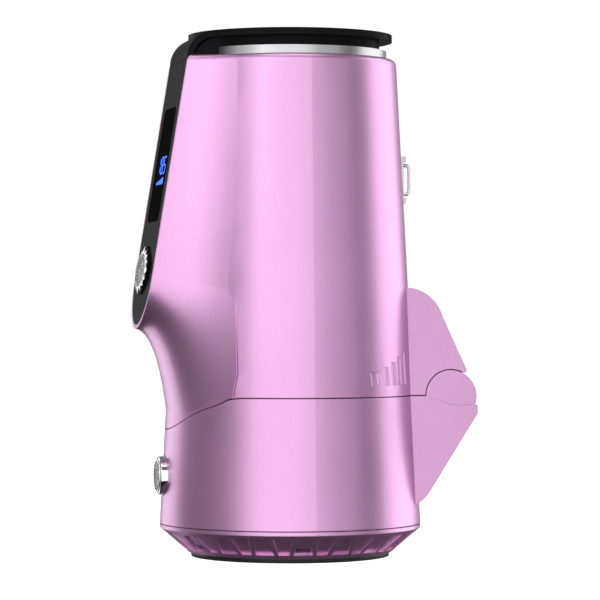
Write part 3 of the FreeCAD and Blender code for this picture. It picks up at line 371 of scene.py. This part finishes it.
def strip_frame(low, high, out):
    """Places +Z out of the strip, over its front, at the middle height of a box."""
    tip = Vector((0, PANEL_LOW.y, PANEL_LOW.z))
    up = ((low.z + high.z) / 2 - PANEL_LOW.z) / math.cos(STRIP_LEAN)
    return Matrix.Translation(tip + STRIP_UP * up + STRIP_OUT * out) @ STRIP_TURN


# --- Stones and petals ---------------------------------------------------------------------------

STONE_SMOOTH = 15.0

# The stone in the middle of a field, as a ring of one
MIDDLE_STONE = (0.01 * MM, 1)


def stone(size):
    """A round brilliant: a girdle, a sloping crown and a flat table. It stands on z = 0."""
    girdle, crown, table = size * 0.30, size * 0.26, 0.55
    bpy.ops.mesh.primitive_cylinder_add(vertices=8, radius=size / 2, depth=girdle,
                                        location=(0, 0, girdle / 2))
    gem = newest("stone")
    bpy.ops.object.mode_set(mode="EDIT")
    bpy.ops.mesh.select_all(action="DESELECT")
    bpy.ops.object.mode_set(mode="OBJECT")
    for face in gem.data.polygons:
        face.select = face.normal.z > 0.9
    bpy.ops.object.mode_set(mode="EDIT")
    bpy.ops.mesh.extrude_region_move(TRANSFORM_OT_translate={"value": (0, 0, crown)})
    bpy.ops.transform.resize(value=(table, table, 1.0))
    bpy.ops.object.mode_set(mode="OBJECT")
    alone(gem)
    bpy.ops.object.transform_apply(location=True, rotation=True, scale=True)
    return gem


def paved(size, rings, rim_r, rise, face, name):
    """Stones set in rings, each (radius, count), over a shallow dome and square to it."""
    dome_r = (rim_r ** 2 + rise ** 2) / (2 * rise)
    sunk = size * 0.08
    places = []
    for ring, (radius, count) in enumerate(rings):
        height = math.sqrt(dome_r ** 2 - radius ** 2) - (dome_r - rise)
        seat = (Matrix.Translation((radius, 0, height - sunk))
                @ Matrix.Rotation(math.asin(radius / dome_r), 4, "Y"))
        for index in range(count):
            turn = 2 * math.pi * (index + 0.5 * (ring % 2)) / count
            places.append(face @ Matrix.Rotation(turn, 4, "Z") @ seat)
    return copy_to(stone(size), places, name)


def petal(length, width, height):
    """A pointed petal: a low ridge from a blunt root to a sharp tip along +X. It stands on z = 0."""
    flank, thinnest, narrowest = 0.45, 0.12, 0.05
    bpy.ops.mesh.primitive_grid_add(x_subdivisions=6, y_subdivisions=2, size=1.0)
    leaf = newest("petal")
    bpy.ops.object.mode_set(mode="EDIT")
    bpy.ops.mesh.select_all(action="SELECT")
    bpy.ops.mesh.extrude_region_move(TRANSFORM_OT_translate={"value": (0, 0, 0.25)})
    bpy.ops.object.mode_set(mode="OBJECT")
    for vertex in leaf.data.vertices:
        along = vertex.co.x + 0.5
        plump = math.sin(math.pi * min(1.0, along ** 0.7) * 0.86 + 0.42)
        ridge = 1.0 if abs(vertex.co.y) < 0.1 else flank
        vertex.co.x = along * length
        vertex.co.y *= width * max(narrowest, plump)
        vertex.co.z = height * ridge * max(thinnest, plump) if vertex.co.z > 0.1 else 0.0
    alone(leaf)
    bpy.ops.object.mode_set(mode="EDIT")
    bpy.ops.mesh.select_all(action="SELECT")
    bpy.ops.mesh.normals_make_consistent(inside=False)
    bpy.ops.object.mode_set(mode="OBJECT")
    bevelled(leaf, height * 0.12)
    return leaf


# --- Jewelled knob -------------------------------------------------------------------------------

KNOB_R = (KNOB_HIGH.x - KNOB_LOW.x) / 2
KNOB_FRAME = strip_frame(KNOB_LOW, KNOB_HIGH, 0)

# The flower's half width and half height, its foot over the strip, and its dome's rise
FLOWER_WIDE, FLOWER_TALL = 9.7 * MM, 5.7 * MM
FLOWER_FOOT, FLOWER_RISE = 1.15 * MM, 0.8 * MM

# Turns a round of FLOWER_TALL into the flower's oval, at its foot
FLOWER_FRAME = (KNOB_FRAME @ Matrix.Translation((0, 0, FLOWER_FOOT))
                @ Matrix.Diagonal((FLOWER_WIDE / FLOWER_TALL, 1, 1, 1)))


def build_knob_base():
    """The plain drum and stem under the flower, in place of the whole CAD knob."""
    drum_depth, drum_middle, drum_edge = 4.3 * MM, -1.35 * MM, 0.25 * MM
    stem_r, stem_depth, stem_middle = 2.0 * MM, 2.0 * MM, -4.2 * MM
    bpy.ops.mesh.primitive_cylinder_add(vertices=64, radius=KNOB_R, depth=drum_depth)
    drum = newest("knob_drum")
    drum.data.transform(KNOB_FRAME @ Matrix.Translation((0, 0, drum_middle)))
    bevelled(drum, drum_edge)
    bpy.ops.mesh.primitive_cylinder_add(vertices=32, radius=stem_r, depth=stem_depth)
    stem = newest("knob_stem")
    stem.data.transform(KNOB_FRAME @ Matrix.Translation((0, 0, stem_middle)))
    base = joined([stem, drum], "knob_base")
    finished(base, "mode_button", "black")
    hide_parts("mode_button")


def build_knob_dome():
    """The dark setting under the stones: the upper half of a ball, pressed flat."""
    bpy.ops.mesh.primitive_uv_sphere_add(segments=48, ring_count=20, radius=FLOWER_TALL)
    dome = newest("knob_dome")
    bpy.ops.object.mode_set(mode="EDIT")
    bpy.ops.mesh.select_all(action="SELECT")
    bpy.ops.mesh.bisect(plane_co=(0, 0, 0), plane_no=(0, 0, 1), clear_inner=True, use_fill=True)
    bpy.ops.object.mode_set(mode="OBJECT")
    dome.data.transform(FLOWER_FRAME @ Matrix.Diagonal((1, 1, FLOWER_RISE / FLOWER_TALL, 1)))
    finished(dome, "mode_button", "setting")


def build_knob_stones():
    """Five rings of stones round a middle one."""
    size, pitch = 0.94 * MM, 1.02 * MM
    rings = [MIDDLE_STONE] + [(pitch * ring, 6 * ring) for ring in range(1, 6)]
    stones = paved(size, rings, FLOWER_TALL, FLOWER_RISE, FLOWER_FRAME, "knob_stones")
    finished(stones, "mode_button", "stone", STONE_SMOOTH)


def build_knob_rim():
    """The polished wire round the stones."""
    wire_r, lift = 0.34 * MM, 0.1 * MM
    bpy.ops.mesh.primitive_torus_add(major_radius=FLOWER_TALL, minor_radius=wire_r,
                                     major_segments=72, minor_segments=12)
    rim = newest("knob_rim")
    rim.data.transform(FLOWER_FRAME @ Matrix.Translation((0, 0, lift)))
    finished(rim, "mode_button", "polished")


def build_knob_petals():
    """Petals round the rim, every fourth one longer."""
    count, length, width, height = 16, 1.0 * MM, 2.6 * MM, 0.55 * MM
    long, short, inset = 3.2, 2.5, 0.9 * MM
    places = []
    for index in range(count):
        turn = 2 * math.pi * index / count
        root = Vector((math.cos(turn) * (FLOWER_WIDE - inset),
                       math.sin(turn) * (FLOWER_TALL - inset), FLOWER_FOOT))
        stretch = long if index % 4 == 0 else short
        places.append(KNOB_FRAME @ Matrix.Translation(root) @ Matrix.Rotation(turn, 4, "Z")
                      @ Matrix.Diagonal((stretch, 1, 1, 1)))
    petals = copy_to(petal(length, width, height), places, "knob_petals")
    finished(petals, "mode_button", "polished", 30.0)


# --- Release button ------------------------------------------------------------------------------

RELEASE_MIDDLE = Vector((0, LATCH_LOW.y, (LATCH_LOW.z + LATCH_HIGH.z) / 2))
RELEASE_FRAME = Matrix.Translation(RELEASE_MIDDLE) @ Matrix.Rotation(math.pi / 2, 4, "X")
RELEASE_FIELD_R = (LATCH_HIGH.x - LATCH_LOW.x) / 2 - 0.75 * MM


def build_release_rim():
    """The polished wire on the button's face."""
    wire_r, inset = 0.42 * MM, 0.35 * MM
    bpy.ops.mesh.primitive_torus_add(major_radius=RELEASE_FIELD_R - inset, minor_radius=wire_r,
                                     major_segments=64, minor_segments=16)
    rim = newest("release_rim")
    rim.data.transform(RELEASE_FRAME)
    finished(rim, "latch", "polished")


def build_release_stones():
    """Four rings of stones round a middle one."""
    size, rise = 1.08 * MM, 0.5 * MM
    rings = [MIDDLE_STONE, (1.15 * MM, 6), (2.25 * MM, 12), (3.35 * MM, 18), (4.35 * MM, 24)]
    stones = paved(size, rings, RELEASE_FIELD_R, rise, RELEASE_FRAME, "release_stones")
    finished(stones, "latch", "stone", STONE_SMOOTH)


# --- Display -------------------------------------------------------------------------------------

DISPLAY_SET_BACK = 0.17 * MM
DISPLAY_FRAME = strip_frame(WINDOW_LOW, WINDOW_HIGH, -DISPLAY_SET_BACK)

# Each segment of a figure: how it lies, and its middle in half widths and half heights
SEGMENTS = {"top": ("flat", 0, 1), "upper_left": ("upright", -1, 0.5),
            "upper_right": ("upright", 1, 0.5), "middle": ("flat", 0, 0),
            "lower_left": ("upright", -1, -0.5), "lower_right": ("upright", 1, -0.5),
            "bottom": ("flat", 0, -1)}
FIGURES = {"1": ["upper_right", "lower_right"],
           "8": list(SEGMENTS),
           "5": ["top", "upper_left", "middle", "lower_right", "bottom"]}


def lit_bar(width, height, across, up):
    """A slim lit segment with round corners, at a place on the display."""
    thick = 0.06 * MM
    bpy.ops.mesh.primitive_cube_add(size=1.0)
    bar = newest("segment")
    bar.data.transform(Matrix.Diagonal((width, height, thick, 1)))
    bevelled(bar, min(width, height) * 0.25)
    bar.data.transform(DISPLAY_FRAME @ Matrix.Translation((across, up, 0)))
    return bar


def figure_bars(reading):
    """The lit segments of a reading, one figure beside the next."""
    width, half_height, stroke, pitch = 3.4 * MM, 2.7 * MM, 0.6 * MM, 5.2 * MM
    flat, upright = (width - stroke, stroke), (stroke, half_height - stroke)
    bars = []
    for column, figure in enumerate(reading):
        middle = (column - (len(reading) - 1) / 2) * pitch
        for name in FIGURES[figure]:
            kind, across, up = SEGMENTS[name]
            size = flat if kind == "flat" else upright
            bars.append(lit_bar(*size, middle + across * width / 2, up * half_height))
    return bars


def level_bars():
    """A row of bars on one foot, each taller than the last."""
    count, width, pitch, foot = 7, 1.1 * MM, 2.0 * MM, -6.4 * MM
    bars = []
    for index in range(count):
        height = (0.8 + 0.25 * index) * MM
        bars.append(lit_bar(width, height, (index - (count - 1) / 2) * pitch, foot + height / 2))
    return bars


def build_display():
    """A temperature readout over a row of level bars."""
    readout = joined(figure_bars("185") + level_bars(), "display_figure")
    finished(readout, "barrel", "light")


# --- Woven filter --------------------------------------------------------------------------------


def build_filter_weave():
    """Crossed wires, cut to the frame's round."""
    clearance, pitch, wire_r = 0.05 * MM, 1.6 * MM, 0.16 * MM
    reach = (FILTER_HIGH.x - FILTER_LOW.x) / 2 - clearance
    level = (FILTER_LOW.z + FILTER_HIGH.z) / 2
    lift = wire_r * 0.8
    count = int(reach / pitch)
    bpy.ops.mesh.primitive_cylinder_add(vertices=6, radius=wire_r, depth=1.0)
    wire = newest("wire")
    places = []
    for turn, height in ((0.0, level + lift), (math.pi / 2, level - lift)):
        for index in range(-count, count + 1):
            across = index * pitch
            chord = 2 * math.sqrt(max(reach ** 2 - across ** 2, 0.0))
            places.append(Matrix.Rotation(turn, 4, "Z")
                          @ Matrix.Translation((0, across, height))
                          @ Matrix.Rotation(math.pi / 2, 4, "Y")
                          @ Matrix.Diagonal((1, 1, chord, 1)))
    weave = copy_to(wire, places, "filter_weave")
    finished(weave, "base", "mesh")
    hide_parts("filter_mesh")


build_knob_base()
build_knob_dome()
build_knob_stones()
build_knob_rim()
build_knob_petals()
build_release_rim()
build_release_stones()
build_display()
build_filter_weave()


# --- Studio --------------------------------------------------------------------------------------

FLOOR_SIZE = 16.0
WHITE = (1.0, 1.0, 1.0, 1.0)

# Strength of the surroundings overhead and underneath, and the heights that the fade lies between,
# from -1 straight down to 1 straight up
ROOM, DARK = 0.15, 0.02
FADE_FOOT, FADE_TOP = -0.6, 0.1

LIGHTS_AIM = Vector((0, 0, 0.085))

# The camera's way round the object, as for the lights, its distance from the axis, its height, and
# how far it stands to the right of the axis
CAMERA_AZIMUTH = 78.5
CAMERA_DISTANCE = 0.98
EYE_LEVEL = 0.0851
AIM_RIGHT = 0.0033
LENS, SENSOR = 176.0, 36.0


def build_floor():
    """A wide pale floor that glows white and is left out of shadows and reflections."""
    bpy.ops.mesh.primitive_plane_add(size=FLOOR_SIZE, location=(0, 0, 0))
    floor = newest("studio_floor")
    pale = Finish("pale_floor", Roughness=0.7, Emission_Color=WHITE, Emission_Strength=1.0)
    pale.colour(pale.noise(3.0), (0.84, 0.84, 0.84), (0.86, 0.86, 0.86))
    floor.data.materials.append(pale.material)
    floor.visible_glossy = floor.visible_shadow = floor.visible_diffuse = False


def build_surroundings():
    """White to the camera. As light on the object, dim overhead and darker underneath."""
    world = bpy.data.worlds.new("studio")
    bpy.context.scene.world = world
    world.use_nodes = True
    room = Nodes(world.node_tree)
    way = room.node("ShaderNodeTexCoord").outputs["Generated"]
    height = room.node("ShaderNodeSeparateXYZ", None, _0=way).outputs["Z"]
    light = room.node("ShaderNodeMapRange", None, Value=height, From_Min=FADE_FOOT,
                      From_Max=FADE_TOP, To_Min=DARK, To_Max=ROOM).outputs[0]
    seen = room.node("ShaderNodeLightPath").outputs["Is Camera Ray"]
    strength = room.node("ShaderNodeMapRange", None, Value=seen, To_Min=light,
                         To_Max=1.0).outputs[0]
    background = world.node_tree.nodes["Background"]
    room.feed(background.inputs["Color"], WHITE)
    room.feed(background.inputs["Strength"], strength)


def softbox(name, azimuth, height, distance, size, power):
    """A rectangular light round the object, aimed at its middle. Azimuth 0 is the front, and 90
    is the side towards +X."""
    lamp = bpy.data.lights.new(name, "AREA")
    lamp.shape, lamp.size, lamp.size_y, lamp.energy = "RECTANGLE", size[0], size[1], power
    light = bpy.data.objects.new(name, lamp)
    bpy.context.scene.collection.objects.link(light)
    turn = math.radians(azimuth)
    light.location = (math.sin(turn) * distance, -math.cos(turn) * distance, height)
    light.rotation_mode = "QUATERNION"
    light.rotation_quaternion = (LIGHTS_AIM - light.location).to_track_quat("-Z", "Y")
    light.visible_camera = False


def build_lights():
    """A broad key and fill by the camera, an edge light on each side, and two from above."""
    softbox("key", CAMERA_AZIMUTH - 6, 0.10, 1.3, (1.6, 1.8), 6.6)
    softbox("wide_fill", CAMERA_AZIMUTH + 8, 0.10, 1.5, (4.4, 1.9), 12.6)
    softbox("edge_back", CAMERA_AZIMUTH + 116, 0.10, 1.1, (1.0, 1.8), 8.5)
    softbox("edge_front", CAMERA_AZIMUTH - 135, 0.10, 1.1, (0.7, 1.8), 4.6)
    softbox("upper_left", CAMERA_AZIMUTH - 46, 0.42, 0.62, (0.62, 0.5), 0.80)
    softbox("top", CAMERA_AZIMUTH, 1.4, 0.3, (0.9, 0.9), 4.0)


def build_camera():
    """A long lens, level, looking at the side of the object."""
    turn = math.radians(CAMERA_AZIMUTH)
    back = Vector((math.sin(turn), -math.cos(turn), 0))
    right = Vector((math.cos(turn), math.sin(turn), 0))
    camera = bpy.data.objects.new("camera", bpy.data.cameras.new("camera"))
    bpy.context.scene.collection.objects.link(camera)
    camera.location = back * CAMERA_DISTANCE + right * AIM_RIGHT + Vector((0, 0, EYE_LEVEL))
    camera.rotation_mode = "QUATERNION"
    camera.rotation_quaternion = (-back).to_track_quat("-Z", "Y")
    camera.data.lens, camera.data.sensor_width = LENS, SENSOR
    bpy.context.scene.camera = camera
    bpy.context.scene.view_settings.view_transform = "Standard"


build_floor()
build_surroundings()
build_lights()
build_camera()
